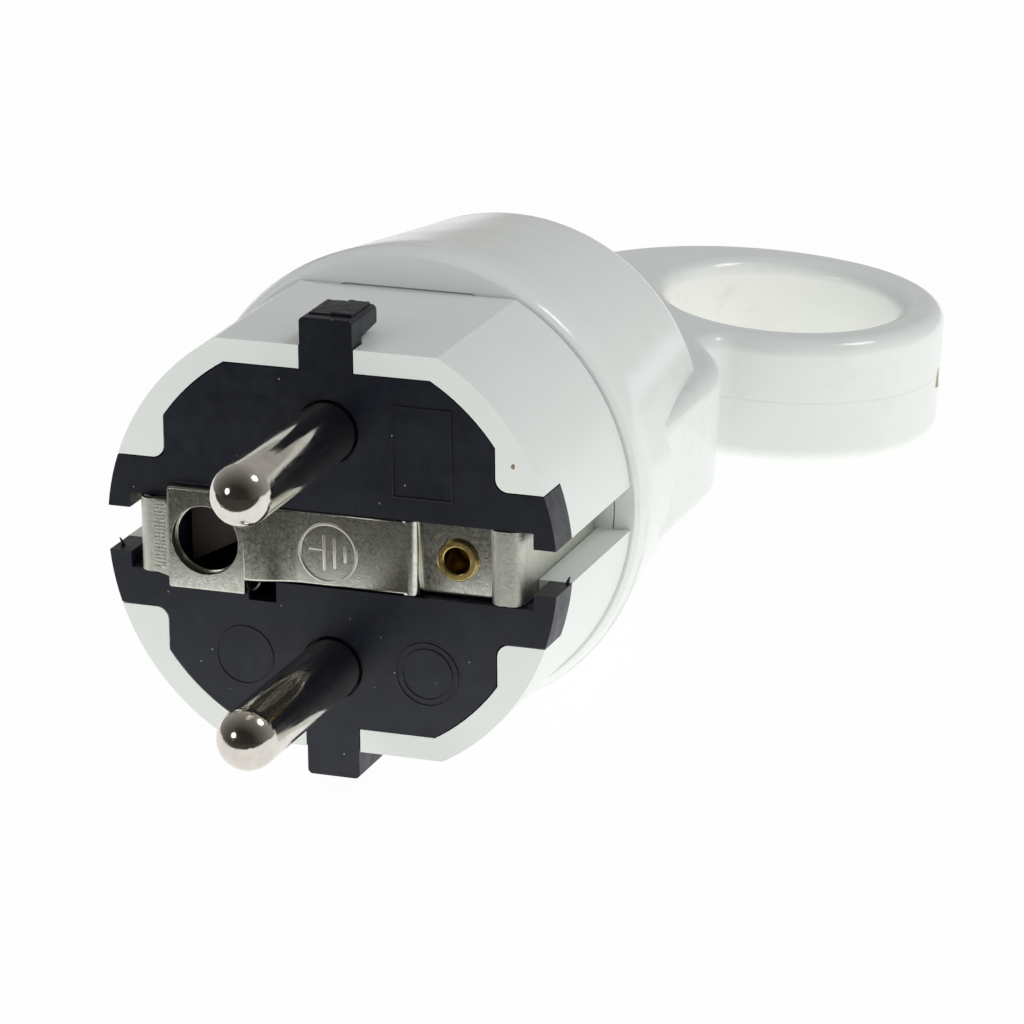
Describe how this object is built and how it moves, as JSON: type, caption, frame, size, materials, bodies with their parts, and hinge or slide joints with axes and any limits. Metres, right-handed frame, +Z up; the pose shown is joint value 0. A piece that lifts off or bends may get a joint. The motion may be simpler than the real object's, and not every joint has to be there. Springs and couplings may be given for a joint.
{
  "type": "type f plug",
  "caption": "Round earthed mains plug with side earth contacts, a hole for a socket's earth pin, and a moulded pull ring beside the straight cord outlet.",
  "frame": {"origin": "middle of the face that meets the socket, half way between the two line pins", "axes": "-Y the way the pins point, +Y back along the plug to the cord outlet, +Z up from the lower pin to the upper pin, +X towards the pull ring"},
  "size_m": [0.049, 0.0988, 0.0388],
  "materials": {
    "cover_white": "gloss moulded white thermoplastic",
    "skirt_white": "semi gloss moulded white thermoset",
    "insert_black": "satin moulded black",
    "pin_nickel": "bright nickel plating",
    "strap_nickel": "mottled nickel plating",
    "eyelet_brass": "plain brass",
    "spring_steel": "dull spring steel",
    "screw_zinc": "zinc plated steel"
  },
  "bodies": {
    "root": {"rear_cover": "cover_white", "front_skirt": "skirt_white", "face_insert": "insert_black", "line_pin_upper": "pin_nickel", "line_pin_lower": "pin_nickel", "earth_strap": "strap_nickel", "earth_rivet": "eyelet_brass", "earth_terminal": "eyelet_brass", "earth_socket": "spring_steel", "upper_terminal_screw": "screw_zinc", "lower_terminal_screw": "screw_zinc", "earth_terminal_screw": "screw_zinc", "upper_wire_clamp": "screw_zinc", "lower_wire_clamp": "screw_zinc", "earth_wire_clamp": "screw_zinc", "cover_screw_upper": "screw_zinc", "cover_screw_lower": "screw_zinc", "cover_bush_upper": "eyelet_brass", "cover_bush_lower": "eyelet_brass", "cord_clamp": "insert_black", "cord_clamp_screw_left": "screw_zinc", "cord_clamp_screw_right": "screw_zinc"}
  },
  "joints": []
}
